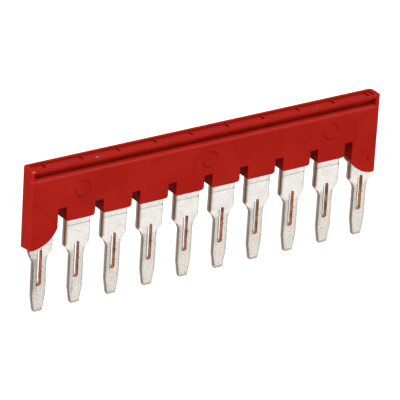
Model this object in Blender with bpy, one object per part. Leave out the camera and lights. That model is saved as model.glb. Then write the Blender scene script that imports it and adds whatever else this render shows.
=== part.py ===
"""Ten-way plug-in jumper bar for rail-mounted terminal blocks.

A stamped, tinned copper comb sits in a moulded red housing. The bar of the comb
is hidden inside, and its ten slotted prongs leave the housing downwards.

Frame: X along the bar, -Y the face with the grip groove, +Z up. The origin is at
mid length and mid thickness, on the plane where the prongs leave the tabs.
"""

import math

import bmesh
import bpy

MM = 0.001

# Driving dimensions
PITCH = 6.2 * MM
POSITIONS = 10
BAR_LENGTH = 60.3 * MM
BAR_THICKNESS = 2.6 * MM
TOP_Z = 9.1 * MM
TIP_Z = -13.7 * MM
SHEET_THICKNESS = 0.8 * MM
SHEET_OFFSET_Y = -0.1 * MM
CLEARANCE = 0.2 * MM
END_CLEARANCE = 0.1 * MM

# Housing
END_X = BAR_LENGTH / 2
FRONT_Y = -BAR_THICKNESS / 2
BACK_Y = BAR_THICKNESS / 2
END_TAB_Z = -3.5 * MM
END_TAB_RADIUS = 4.68 * MM
END_TAB_CORNER = 0.4 * MM
NOTCH_WIDTH = 1.35 * MM
NOTCH_TOP_Z = 2.25 * MM
TAB_CORNER_RIGHT = 0.45 * MM
TAB_CORNER_LEFT = 0.2 * MM
TOP_CORNER = 0.3 * MM
MOULD_EDGE = 0.12 * MM
MOULD_EDGE_STEPS = 1
UPRIGHT_EDGE = 0.5 * MM
EDGE_RELIEF = 0.01 * MM
NOTCH_ROOF = 0.6 * MM
RED_POLYAMIDE = {"colour": (0.37, 0.013, 0.010), "roughness": 0.45, "metallic": 0.0}

# Grip groove along the front, under the top lip
GROOVE_END_WALL = 0.45 * MM
GROOVE_TOP_Z = 8.52 * MM
GROOVE_BOTTOM_Z = 7.4 * MM
GROOVE_DEPTH = 1.3 * MM
GROOVE_EDGE = 0.26 * MM

# Recess along the top, with a thin rib to the right of each prong's centre
RIM_Z = 9.0 * MM
RIM_END = 1.0 * MM
TROUGH_FRONT_RIM = 0.58 * MM
TROUGH_BACK_RIM = 0.35 * MM
TROUGH_END_WALL = 0.4 * MM
TROUGH_DEPTH = 0.27 * MM
RIB_WIDTH = 0.3 * MM
RIB_OFFSET = 0.57 * MM
RIB_DROP = 0.05 * MM

# Comb
SPINE_TOP_Z = 6.4 * MM
SPINE_FILLET = 0.3 * MM
PRONG_HALF = 2.0 * MM
END_PRONG_HALF = 1.95 * MM
SHOULDER_Z = -4.25 * MM
SHOULDER_CORNER = 0.25 * MM
NECK_HALF = 1.08 * MM
NECK_Z = -5.25 * MM
NECK_FILLET = 0.6 * MM
TAPER_Z = -11.2 * MM
TIP_HALF = 0.82 * MM
TIP_CORNER = 0.3 * MM
SLOT_TOP_Z = -3.92 * MM
SLOT_BOTTOM_Z = -9.65 * MM
SLOT_HALF = 0.36 * MM
COINED_EDGE = 0.28 * MM
COINED_TOP_Z = -5.45 * MM
COINED_STEPS = 2
TINNED_COPPER = {"colour": (0.80, 0.78, 0.74), "roughness": 0.3, "metallic": 1.0}

# How finely the curves are divided, and how far cutters reach past what they cut
CORNER_STEPS = 3
FINE_STEPS = 6
OVERCUT = 1.0 * MM
SAME = 0.001 * MM

# Worked out from the dimensions above
SPINE_BOTTOM_Z = NOTCH_TOP_Z + NOTCH_ROOF + CLEARANCE
SPINE_END_X = (POSITIONS - 1) / 2 * PITCH + END_PRONG_HALF


def prong_x(index):
    """Centre of a prong, counted from 0 at the left."""
    return (index - (POSITIONS - 1) / 2) * PITCH


def notch_x(index):
    """Centre of the notch between prong index and the next."""
    return prong_x(index) + PITCH / 2


def arc(centre, radius, start, end, steps):
    """Points on a circle, both ends included, angles in degrees."""
    points = []
    for step in range(steps + 1):
        angle = math.radians(start + (end - start) * step / steps)
        points.append((centre[0] + radius * math.cos(angle), centre[1] + radius * math.sin(angle)))
    return points


def corner_arc(before, corner, after, radius, steps=CORNER_STEPS):
    """The arc that touches both sides of one corner."""
    to_before = math.atan2(before[1] - corner[1], before[0] - corner[0])
    to_after = math.atan2(after[1] - corner[1], after[0] - corner[0])
    turn = (to_after - to_before + math.pi) % (2 * math.pi) - math.pi
    half = turn / 2
    reach = radius / abs(math.sin(half))
    middle = to_before + half
    centre = (corner[0] + reach * math.cos(middle), corner[1] + reach * math.sin(middle))
    side = math.copysign(math.pi / 2, half)
    start = to_before - side
    sweep = -math.copysign(math.pi - abs(turn), half)
    return arc(centre, radius, math.degrees(start), math.degrees(start + sweep), steps)


def clear_scene():
    for obj in list(bpy.data.objects):
        bpy.data.objects.remove(obj, do_unlink=True)


def new_collection(name):
    collection = bpy.data.collections.new(name)
    bpy.context.scene.collection.children.link(collection)
    return collection


def new_material(name, colour, roughness, metallic):
    material = bpy.data.materials.new(name)
    material.use_nodes = True
    shader = material.node_tree.nodes["Principled BSDF"]
    shader.inputs["Base Color"].default_value = (*colour, 1.0)
    shader.inputs["Roughness"].default_value = roughness
    shader.inputs["Metallic"].default_value = metallic
    material.diffuse_color = (*colour, 1.0)
    return material


def plate(name, outline, thickness, location, rotation, collection):
    """A flat outline given a thickness, as a mesh whose faces are whole."""
    data = bpy.data.curves.new(name + "_outline", "CURVE")
    data.dimensions = "2D"
    data.fill_mode = "BOTH"
    data.extrude = thickness / 2
    spline = data.splines.new("POLY")
    spline.points.add(len(outline) - 1)
    for point, (across, up) in zip(spline.points, outline):
        point.co = (across, up, 0.0, 1.0)
    spline.use_cyclic_u = True
    guide = bpy.data.objects.new(name + "_outline", data)
    guide.location = location
    guide.rotation_euler = rotation
    collection.objects.link(guide)
    bpy.context.view_layer.update()
    graph = bpy.context.evaluated_depsgraph_get()
    mesh = bpy.data.meshes.new_from_object(guide.evaluated_get(graph))
    mesh.name = name
    merge_caps(mesh)
    mesh.transform(guide.matrix_world)
    bpy.data.objects.remove(guide, do_unlink=True)
    solid = bpy.data.objects.new(name, mesh)
    collection.objects.link(solid)
    return solid


def merge_caps(mesh):
    """Welds the two caps to the sides, and makes each cap a single face."""
    work = bmesh.new()
    work.from_mesh(mesh)
    bmesh.ops.remove_doubles(work, verts=work.verts, dist=SAME)
    inner = [edge for edge in work.edges if all(is_cap(face) for face in edge.link_faces)]
    bmesh.ops.dissolve_edges(work, edges=inner, use_verts=False)
    bmesh.ops.recalc_face_normals(work, faces=work.faces)
    work.to_mesh(mesh)
    work.free()


def is_cap(face):
    """True where a face of an extruded outline is all at one height."""
    heights = [vertex.co.z for vertex in face.verts]
    return max(heights) - min(heights) < SAME


def upright_plate(name, outline, thickness, centre_y, collection):
    """A plate whose outline is in X and Z, and whose thickness is along Y."""
    return plate(name, outline, thickness, (0, centre_y, 0), (math.pi / 2, 0, 0), collection)


def long_bar(name, outline, half_length, collection):
    """A bar along X whose outline is in Y and Z."""
    return plate(name, outline, 2 * half_length, (0, 0, 0), (math.pi / 2, 0, math.pi / 2), collection)


def box(name, low, high, collection):
    """A plain block between two opposite corners."""
    bpy.ops.mesh.primitive_cube_add(size=1)
    solid = bpy.context.active_object
    solid.name = name
    solid.location = [(a + b) / 2 for a, b in zip(low, high)]
    solid.scale = [b - a for a, b in zip(low, high)]
    bpy.ops.object.transform_apply(location=True, rotation=False, scale=True)
    move_to(solid, collection)
    return solid


def move_to(obj, collection):
    for old in list(obj.users_collection):
        old.objects.unlink(obj)
    collection.objects.link(obj)


def bevel_edges(solid, width, segments, wanted):
    """Rounds the outline edges of a plate, where both ends of an edge pass the test."""
    work = bmesh.new()
    work.from_mesh(solid.data)
    edges = [edge for edge in work.edges if is_level(edge) and all(wanted(v.co) for v in edge.verts)]
    bmesh.ops.bevel(work, geom=edges, offset=width, segments=segments, profile=0.5,
                    affect="EDGES", clamp_overlap=False)
    work.to_mesh(solid.data)
    work.free()


def is_level(edge):
    """True where an edge lies in the front or the back, and doesn't cross the thickness."""
    first, second = edge.verts
    return abs(first.co.y - second.co.y) < SAME


def cut(solid, cutter):
    """Takes a cutter's shape out of a part."""
    modifier = solid.modifiers.new("cut_" + cutter.name, "BOOLEAN")
    modifier.operation = "DIFFERENCE"
    modifier.object = cutter
    modifier.solver = "EXACT"


def as_cutter(solid):
    solid.hide_render = True
    solid.display_type = "WIRE"
    return solid


def housing_outline():
    """Clockwise from the top left, tabs and notches along the bottom."""
    bottom = END_TAB_Z
    outline = corner_arc((-END_X, bottom), (-END_X, TOP_Z), (END_X, TOP_Z), TOP_CORNER)
    outline += corner_arc((-END_X, TOP_Z), (END_X, TOP_Z), (END_X, bottom), TOP_CORNER)
    outline += end_tab(1)
    for index in reversed(range(POSITIONS - 1)):
        outline += notch(index)
    outline += [(x, z) for x, z in reversed(end_tab(-1))]
    return outline


def end_tab(side):
    """Bottom of an end tab, from its outer corner round to the last notch."""
    centre_x = END_X - END_TAB_CORNER
    inner_x = notch_x(POSITIONS - 2) + NOTCH_WIDTH / 2
    last = math.degrees(math.acos((inner_x - centre_x) / END_TAB_RADIUS))
    points = arc((centre_x, END_TAB_Z + END_TAB_CORNER), END_TAB_CORNER, 0, -90, CORNER_STEPS)
    points.pop()
    points += arc((centre_x, END_TAB_Z + END_TAB_RADIUS), END_TAB_RADIUS, -90, -last, FINE_STEPS)
    return [(side * x, z) for x, z in points]


def notch(index):
    """One notch, from its right wall over to the rounded foot of the tab at its left."""
    right = notch_x(index) + NOTCH_WIDTH / 2
    left = notch_x(index) - NOTCH_WIDTH / 2
    points = [(right, NOTCH_TOP_Z), (left, NOTCH_TOP_Z)]
    if index == 0:
        return points
    tab_left = notch_x(index - 1) + NOTCH_WIDTH / 2
    points += corner_arc((left, NOTCH_TOP_Z), (left, 0), (tab_left, 0), TAB_CORNER_RIGHT)
    points += corner_arc((left, 0), (tab_left, 0), (tab_left, NOTCH_TOP_Z), TAB_CORNER_LEFT)
    return points


def prong_halves(index):
    """Half widths right and left of a prong: the comb's two ends are trimmed."""
    right = END_PRONG_HALF if index == POSITIONS - 1 else PRONG_HALF
    left = END_PRONG_HALF if index == 0 else PRONG_HALF
    return right, left


def pocket_halves(index):
    """Half widths of the room for a prong, tighter at the bar's two ends."""
    right, left = prong_halves(index)
    room_right = END_CLEARANCE if index == POSITIONS - 1 else CLEARANCE
    room_left = END_CLEARANCE if index == 0 else CLEARANCE
    return right + room_right, left + room_left


def cavity_cutter(collection):
    """The room that the moulding leaves for the comb, open under each tab."""
    end_x = SPINE_END_X + END_CLEARANCE
    root_z = SPINE_BOTTOM_Z - CLEARANCE
    top_z = SPINE_TOP_Z + CLEARANCE
    outline = [(-end_x, top_z), (end_x, top_z)]
    for index in reversed(range(POSITIONS)):
        at_end = index in (0, POSITIONS - 1)
        foot_z = END_TAB_Z - OVERCUT if at_end else -OVERCUT
        right, left = pocket_halves(index)
        tooth = [(right, root_z), (right, foot_z), (-left, foot_z), (-left, root_z)]
        outline += [(prong_x(index) + x, z) for x, z in tooth]
    outline = [(x, z) for x, z in outline if z != root_z or abs(x) < end_x - SAME]
    thickness = SHEET_THICKNESS + 2 * CLEARANCE
    return as_cutter(upright_plate("comb_room", outline, thickness, SHEET_OFFSET_Y, collection))


def groove_cutter(collection):
    """The grip groove, with its lower front edge rounded off."""
    back = FRONT_Y + GROOVE_DEPTH
    front = FRONT_Y - OVERCUT
    edge_centre = (FRONT_Y + GROOVE_EDGE - EDGE_RELIEF, GROOVE_BOTTOM_Z - GROOVE_EDGE)
    outline = [(front, GROOVE_TOP_Z), (back, GROOVE_TOP_Z), (back, GROOVE_BOTTOM_Z)]
    outline += arc(edge_centre, GROOVE_EDGE, 90, 180, CORNER_STEPS)
    outline.append((front, GROOVE_BOTTOM_Z - GROOVE_EDGE))
    return as_cutter(long_bar("grip_groove", outline, END_X - GROOVE_END_WALL, collection))


def upright_edge_cutters(collection):
    """Round off the four upright edges at the ends of the bar."""
    centre = (END_X - UPRIGHT_EDGE + EDGE_RELIEF, BACK_Y - UPRIGHT_EDGE + EDGE_RELIEF)
    quarter = arc(centre, UPRIGHT_EDGE, 0, 90, CORNER_STEPS)
    quarter += [(centre[0], BACK_Y + OVERCUT), (END_X + OVERCUT, BACK_Y + OVERCUT)]
    quarter.append((END_X + OVERCUT, centre[1]))
    middle_z = (TOP_Z + END_TAB_Z) / 2
    height = TOP_Z - END_TAB_Z + 2 * OVERCUT
    cutters = []
    for side_x in (-1, 1):
        for side_y in (-1, 1):
            outline = [(side_x * x, side_y * y) for x, y in quarter]
            name = "upright_edge_%d" % (len(cutters) + 1)
            edge = plate(name, outline, height, (0, 0, middle_z), (0, 0, 0), collection)
            cutters.append(as_cutter(edge))
    return cutters


def trough_cutters(collection):
    """The rims between the raised ends, the recess, then a deeper cell between the ribs."""
    front = FRONT_Y + TROUGH_FRONT_RIM
    back = BACK_Y - TROUGH_BACK_RIM
    end = END_X - TROUGH_END_WALL
    rim = END_X - RIM_END
    above = TOP_Z + OVERCUT
    aside = BACK_Y + OVERCUT
    cutters = [
        box("rims", (-rim, -aside, RIM_Z), (rim, aside, above), collection),
        box("trough", (-end, front, RIM_Z - RIB_DROP), (end, back, above), collection),
    ]
    edges = [-end]
    for index in range(POSITIONS):
        rib = prong_x(index) + RIB_OFFSET
        edges += [rib - RIB_WIDTH / 2, rib + RIB_WIDTH / 2]
    edges.append(end)
    for cell, (left, right) in enumerate(zip(edges[::2], edges[1::2])):
        name = "trough_cell_%02d" % (cell + 1)
        cutters.append(box(name, (left, front, RIM_Z - TROUGH_DEPTH), (right, back, above), collection))
    return [as_cutter(cutter) for cutter in cutters]


def make_housing(parts, cutters):
    housing = upright_plate("housing", housing_outline(), BAR_THICKNESS, 0, parts)
    bevel_edges(housing, MOULD_EDGE, MOULD_EDGE_STEPS, lambda co: abs(abs(co.y) - BACK_Y) < SAME)
    cut(housing, cavity_cutter(cutters))
    cut(housing, groove_cutter(cutters))
    for cutter in upright_edge_cutters(cutters) + trough_cutters(cutters):
        cut(housing, cutter)
    housing.data.materials.append(new_material("red_polyamide", **RED_POLYAMIDE))
    return housing


def prong_side(half):
    """Right side of one prong, from the bar down to its tip."""
    root = (half, SPINE_BOTTOM_Z)
    shoulder = (half, SHOULDER_Z)
    neck = (NECK_HALF, NECK_Z)
    taper = (NECK_HALF, TAPER_Z)
    tip = (TIP_HALF, TIP_Z)
    side = [root]
    side += corner_arc(root, shoulder, neck, SHOULDER_CORNER)
    side += corner_arc(shoulder, neck, taper, NECK_FILLET)
    side.append(taper)
    side += corner_arc(taper, tip, (0, TIP_Z), TIP_CORNER)
    return side


def comb_outline():
    """Clockwise from the top left, with ten prongs along the bottom."""
    outline = [(-SPINE_END_X, SPINE_TOP_Z), (SPINE_END_X, SPINE_TOP_Z)]
    for index in reversed(range(POSITIONS)):
        right, left = prong_halves(index)
        down = prong_side(right)
        up = [(-x, z) for x, z in reversed(prong_side(left))]
        outline += [(prong_x(index) + x, z) for x, z in root_fillet(index + 1, down)]
        outline += [(prong_x(index) + x, z) for x, z in reversed(root_fillet(index, up[::-1]))]
    return outline


def root_fillet(gap, side):
    """Rounds the corner between the bar and a prong, except at the comb's two ends."""
    if gap in (0, POSITIONS):
        return side[1:]
    x, z = side[0]
    return corner_arc((2 * x, z), (x, z), (x, SHOULDER_Z), SPINE_FILLET) + side[1:]


def slot_cutters(collection):
    """The long slot with round ends that makes each prong springy."""
    top = SLOT_TOP_Z - SLOT_HALF
    bottom = SLOT_BOTTOM_Z + SLOT_HALF
    cutters = []
    for index in range(POSITIONS):
        outline = arc((prong_x(index), top), SLOT_HALF, 180, 0, FINE_STEPS)
        outline += arc((prong_x(index), bottom), SLOT_HALF, 0, -180, FINE_STEPS)
        name = "slot_%02d" % (index + 1)
        slot = upright_plate(name, outline, SHEET_THICKNESS + 2 * OVERCUT, SHEET_OFFSET_Y, collection)
        cutters.append(as_cutter(slot))
    return cutters


def is_coined(co):
    """True on the front and back edges of the contact lengths, below the shoulders."""
    on_face = abs(abs(co.y - SHEET_OFFSET_Y) - SHEET_THICKNESS / 2) < SAME
    return on_face and co.z < COINED_TOP_Z


def make_comb(parts, cutters):
    comb = upright_plate("contact_comb", comb_outline(), SHEET_THICKNESS, SHEET_OFFSET_Y, parts)
    bevel_edges(comb, COINED_EDGE, COINED_STEPS, is_coined)
    for cutter in slot_cutters(cutters):
        cut(comb, cutter)
    comb.data.materials.append(new_material("tinned_copper", **TINNED_COPPER))
    return comb


def main():
    clear_scene()
    parts = new_collection("jumper_bar")
    cutters = new_collection("cutters")
    make_housing(parts, cutters)
    make_comb(parts, cutters)


main()
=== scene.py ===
import math

import bmesh
import bpy
from mathutils import Matrix, Vector


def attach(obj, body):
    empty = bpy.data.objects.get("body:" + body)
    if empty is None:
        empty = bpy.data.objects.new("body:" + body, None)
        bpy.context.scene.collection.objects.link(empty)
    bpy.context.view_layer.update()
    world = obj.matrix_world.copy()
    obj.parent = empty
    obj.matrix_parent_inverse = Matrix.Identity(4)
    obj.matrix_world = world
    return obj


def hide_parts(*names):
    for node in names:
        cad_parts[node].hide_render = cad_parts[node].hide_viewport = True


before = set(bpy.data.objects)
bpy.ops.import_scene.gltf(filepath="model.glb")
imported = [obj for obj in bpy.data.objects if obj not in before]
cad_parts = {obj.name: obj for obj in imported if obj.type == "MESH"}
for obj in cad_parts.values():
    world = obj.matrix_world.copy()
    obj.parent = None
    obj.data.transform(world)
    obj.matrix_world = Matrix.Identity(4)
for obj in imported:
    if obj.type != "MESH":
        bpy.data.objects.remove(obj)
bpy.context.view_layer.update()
mm = 0.001

# Shared by the housing and the comb, in millimetres
pitch = 6.2
positions = 10
prongCentres = [(place - (positions - 1) / 2) * pitch for place in range(positions)]
notchCentres = [centre + pitch / 2 for centre in prongCentres[:-1]]


# Ways of working

def makeActive(piece):
    bpy.ops.object.select_all(action="DESELECT")
    piece.select_set(True)
    bpy.context.view_layer.objects.active = piece


def placeInMesh(piece, name):
    piece.name = name
    piece.data.name = name
    makeActive(piece)
    bpy.ops.object.transform_apply(location=True, rotation=True, scale=True)
    return piece


def addBlock(name, low, high):
    bpy.ops.object.select_all(action="DESELECT")
    middle = [(a + b) / 2 * mm for a, b in zip(low, high)]
    bpy.ops.mesh.primitive_cube_add(size=1, location=middle)
    block = bpy.context.object
    block.scale = [(b - a) * mm for a, b in zip(low, high)]
    return placeInMesh(block, name)


def addRod(name, centre, radius, length, along, sides=64):
    bpy.ops.object.select_all(action="DESELECT")
    turns = {"x": (0, math.pi / 2, 0), "y": (math.pi / 2, 0, 0), "z": (0, 0, 0)}
    bpy.ops.mesh.primitive_cylinder_add(
        vertices=sides,
        radius=radius * mm,
        depth=length * mm,
        location=[value * mm for value in centre],
        rotation=turns[along],
    )
    return placeInMesh(bpy.context.object, name)


def joinAll(pieces):
    makeActive(pieces[0])
    for piece in pieces:
        piece.select_set(True)
    if len(pieces) > 1:
        bpy.ops.object.join()
    return bpy.context.object


def runModifier(piece, kind, **settings):
    makeActive(piece)
    modifier = piece.modifiers.new(kind.lower(), kind)
    for setting, value in settings.items():
        setattr(modifier, setting, value)
    bpy.ops.object.modifier_apply(modifier=modifier.name)


def combine(piece, others, operation="DIFFERENCE"):
    tool = joinAll(others)
    runModifier(piece, "BOOLEAN", operation=operation, solver="EXACT", object=tool)
    bpy.data.objects.remove(tool, do_unlink=True)


def selectPoints(piece, wanted):
    # Called in edit mode; the test gets each point in millimetres
    bpy.ops.mesh.select_mode(type="VERT")
    bpy.ops.mesh.select_all(action="DESELECT")
    shape = bmesh.from_edit_mesh(piece.data)
    for point in shape.verts:
        point.select_set(wanted(point.co / mm))
    shape.select_flush_mode()
    bmesh.update_edit_mesh(piece.data)


def selectFaces(piece, wanted):
    # Called in edit mode; the test gets each face
    bpy.ops.mesh.select_mode(type="FACE")
    bpy.ops.mesh.select_all(action="DESELECT")
    shape = bmesh.from_edit_mesh(piece.data)
    for face in shape.faces:
        face.select_set(wanted(face))
    bmesh.update_edit_mesh(piece.data)


def movePoints(piece, wanted, shift):
    makeActive(piece)
    bpy.ops.object.mode_set(mode="EDIT")
    selectPoints(piece, wanted)
    bpy.ops.transform.translate(value=[value * mm for value in shift])
    bpy.ops.object.mode_set(mode="OBJECT")


def cleanFaces(piece):
    makeActive(piece)
    bpy.ops.object.mode_set(mode="EDIT")
    bpy.ops.mesh.select_all(action="SELECT")
    bpy.ops.mesh.remove_doubles(threshold=0.002 * mm)
    bpy.ops.mesh.dissolve_limited(angle_limit=math.radians(0.4))
    bpy.ops.object.mode_set(mode="OBJECT")


def splitFaces(piece):
    makeActive(piece)
    bpy.ops.object.mode_set(mode="EDIT")
    bpy.ops.mesh.select_all(action="SELECT")
    bpy.ops.mesh.quads_convert_to_tris()
    bpy.ops.object.mode_set(mode="OBJECT")


def roundEdges(piece, wanted, width, segments):
    makeActive(piece)
    bpy.ops.object.mode_set(mode="EDIT")
    bpy.ops.mesh.select_mode(type="EDGE")
    bpy.ops.mesh.select_all(action="DESELECT")
    shape = bmesh.from_edit_mesh(piece.data)
    for edge in shape.edges:
        edge.select_set(wanted(edge))
    shape.select_flush_mode()
    bmesh.update_edit_mesh(piece.data)
    bpy.ops.mesh.bevel(offset=width * mm, segments=segments, affect="EDGES", clamp_overlap=False)
    bpy.ops.object.mode_set(mode="OBJECT")


def isOutwardEdge(edge, least=35):
    if len(edge.link_faces) != 2 or not edge.is_convex:
        return False
    return edge.calc_face_angle(0) > math.radians(least)


def smoothShade(piece, angle=32):
    makeActive(piece)
    bpy.ops.object.shade_smooth_by_angle(angle=math.radians(angle))
    runModifier(piece, "WEIGHTED_NORMAL", keep_sharp=True, weight=80)


def roundingTool(name, along, corner, side, radius, span):
    # What has to go outside a rod, where a corner becomes a curve of that radius
    sides = 24 if radius < 0.6 else 48
    over = 1.0
    relief = 0.004
    axes = [axis for axis in "xyz" if axis != along]
    low, high, centre = {}, {}, {}
    for axis, at, way in zip(axes, corner, side):
        middle = at - way * (radius - relief)
        centre[axis] = middle
        low[axis] = min(middle, at + way * over)
        high[axis] = max(middle, at + way * over)
    low[along], high[along] = span
    centre[along] = sum(span) / 2
    tool = addBlock(name, [low[a] for a in "xyz"], [high[a] for a in "xyz"])
    length = span[1] - span[0] + 2 * over
    rod = addRod(name + "Rod", [centre[a] for a in "xyz"], radius, length, along, sides)
    combine(tool, [rod])
    return tool


# Materials: every mask and pattern reads the object's own coordinates, in millimetres

def startMaterial(name):
    material = bpy.data.materials.new(name)
    material.use_nodes = True
    return material, material.node_tree, material.node_tree.nodes["Principled BSDF"]


def addNode(tree, kind, **settings):
    node = tree.nodes.new(kind)
    for setting, value in settings.items():
        if setting in node.bl_rna.properties:
            setattr(node, setting, value)
        else:
            node.inputs[setting.replace("_", " ")].default_value = value
    return node


def plug(tree, socket, value):
    if isinstance(value, bpy.types.NodeSocket):
        tree.links.new(value, socket)
    elif isinstance(value, tuple) and socket.type == "RGBA":
        socket.default_value = (*value, 1)
    else:
        socket.default_value = value


def blendColours(tree, mask, first, second):
    mix = addNode(tree, "ShaderNodeMix", data_type="RGBA")
    plug(tree, mix.inputs["Factor"], mask)
    plug(tree, mix.inputs[6], first)
    plug(tree, mix.inputs[7], second)
    return mix.outputs[2]


def calculate(tree, operation, *values):
    node = addNode(tree, "ShaderNodeMath", operation=operation)
    for socket, value in zip(node.inputs, values):
        plug(tree, socket, value)
    return node.outputs[0]


def multiply(tree, first, *others):
    for other in others:
        first = calculate(tree, "MULTIPLY", first, other)
    return first


def vectorMath(tree, operation, *values):
    node = addNode(tree, "ShaderNodeVectorMath", operation=operation)
    for socket, value in zip(node.inputs, values):
        plug(tree, socket, value)
    scalar = operation in ("DOT_PRODUCT", "LENGTH")
    return node.outputs["Value" if scalar else "Vector"]


def remap(tree, value, low, high, start=0.0, end=1.0):
    # A soft ramp: the start value at low, the end value at high
    node = addNode(tree, "ShaderNodeMapRange", interpolation_type="SMOOTHSTEP")
    labels = ("Value", "From Min", "From Max", "To Min", "To Max")
    for label, number in zip(labels, (value, low, high, start, end)):
        plug(tree, node.inputs[label], number)
    return node.outputs["Result"]


def band(tree, value, low, high, soft):
    # 1 between the two limits, fading over the soft width outside each
    rise = remap(tree, value, low - soft, low)
    fall = remap(tree, value, high, high + soft, 1.0, 0.0)
    return multiply(tree, rise, fall)


def startGroup(name, inputs, outputs):
    group = bpy.data.node_groups.new(name, "ShaderNodeTree")
    for label, kind, value in inputs:
        socket = group.interface.new_socket(name=label, in_out="INPUT", socket_type=kind)
        if value is not None:
            socket.default_value = value
    for label in outputs:
        group.interface.new_socket(name=label, in_out="OUTPUT", socket_type="NodeSocketFloat")
    return group, addNode(group, "NodeGroupInput"), addNode(group, "NodeGroupOutput")


def makeMottleGroup():
    # A cloudy value and a fine one
    group, entry, end = startGroup("mottle", [
        ("Vector", "NodeSocketVector", None),
        ("Cloud Scale", "NodeSocketFloat", 0.3),
        ("Grain Scale", "NodeSocketFloat", 6.0),
    ], ["Cloud", "Grain"])
    for label, detail in (("Cloud", 4.0), ("Grain", 2.0)):
        noise = addNode(group, "ShaderNodeTexNoise", Detail=detail, Roughness=0.6)
        group.links.new(entry.outputs["Vector"], noise.inputs["Vector"])
        group.links.new(entry.outputs[label + " Scale"], noise.inputs["Scale"])
        group.links.new(noise.outputs["Fac"], end.inputs[label])
    return group


def makeSpotGroup():
    # A ragged oval mark of a given size at a given place
    group, entry, end = startGroup("spot", [
        ("Vector", "NodeSocketVector", None),
        ("Place", "NodeSocketVector", (0, 0, 0)),
        ("Size", "NodeSocketVector", (1, 1, 1)),
        ("Ragged", "NodeSocketFloat", 0.5),
    ], ["Mask"])
    away = vectorMath(group, "SUBTRACT", entry.outputs["Vector"], entry.outputs["Place"])
    share = vectorMath(group, "DIVIDE", away, entry.outputs["Size"])
    distance = vectorMath(group, "LENGTH", share)
    noise = addNode(group, "ShaderNodeTexNoise", Scale=5.0, Detail=2.0)
    group.links.new(entry.outputs["Vector"], noise.inputs["Vector"])
    wobble = calculate(group, "SUBTRACT", noise.outputs["Fac"], 0.5)
    wobble = multiply(group, wobble, entry.outputs["Ragged"])
    distance = calculate(group, "ADD", distance, wobble)
    group.links.new(remap(group, distance, 1.0, 0.5), end.inputs["Mask"])
    return group


mottleGroup = makeMottleGroup()
spotGroup = makeSpotGroup()


def readPlace(tree):
    # Place and direction on the piece: the vector in millimetres, its parts, and the facing
    place = addNode(tree, "ShaderNodeTexCoord")
    vector = vectorMath(tree, "MULTIPLY", place.outputs["Object"], (1000.0, 1000.0, 1000.0))
    parts = addNode(tree, "ShaderNodeSeparateXYZ")
    tree.links.new(vector, parts.inputs[0])
    facing = addNode(tree, "ShaderNodeSeparateXYZ")
    tree.links.new(place.outputs["Normal"], facing.inputs[0])
    return vector, parts.outputs, facing.outputs


def placeMottle(tree, vector, look):
    mottle = addNode(tree, "ShaderNodeGroup", node_tree=mottleGroup)
    plug(tree, mottle.inputs["Vector"], vector)
    mottle.inputs["Cloud Scale"].default_value = look["cloudScale"]
    mottle.inputs["Grain Scale"].default_value = look["grainScale"]
    return mottle.outputs["Cloud"], mottle.outputs["Grain"]


def addSpots(tree, vector, colour, spots):
    # Each spot: place, size, ragged share, strength and its own colour
    for place, size, ragged, strength, tint in spots:
        spot = addNode(tree, "ShaderNodeGroup", node_tree=spotGroup)
        plug(tree, spot.inputs["Vector"], vector)
        spot.inputs["Place"].default_value = place
        spot.inputs["Size"].default_value = size
        spot.inputs["Ragged"].default_value = ragged
        mask = multiply(tree, spot.outputs["Mask"], strength)
        colour = blendColours(tree, mask, colour, tint)
    return colour


def addBump(tree, shader, height):
    # The height is in metres
    bump = addNode(tree, "ShaderNodeBump", Strength=1.0, Distance=1.0)
    tree.links.new(height, bump.inputs["Height"])
    tree.links.new(bump.outputs["Normal"], shader.inputs["Normal"])


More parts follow.
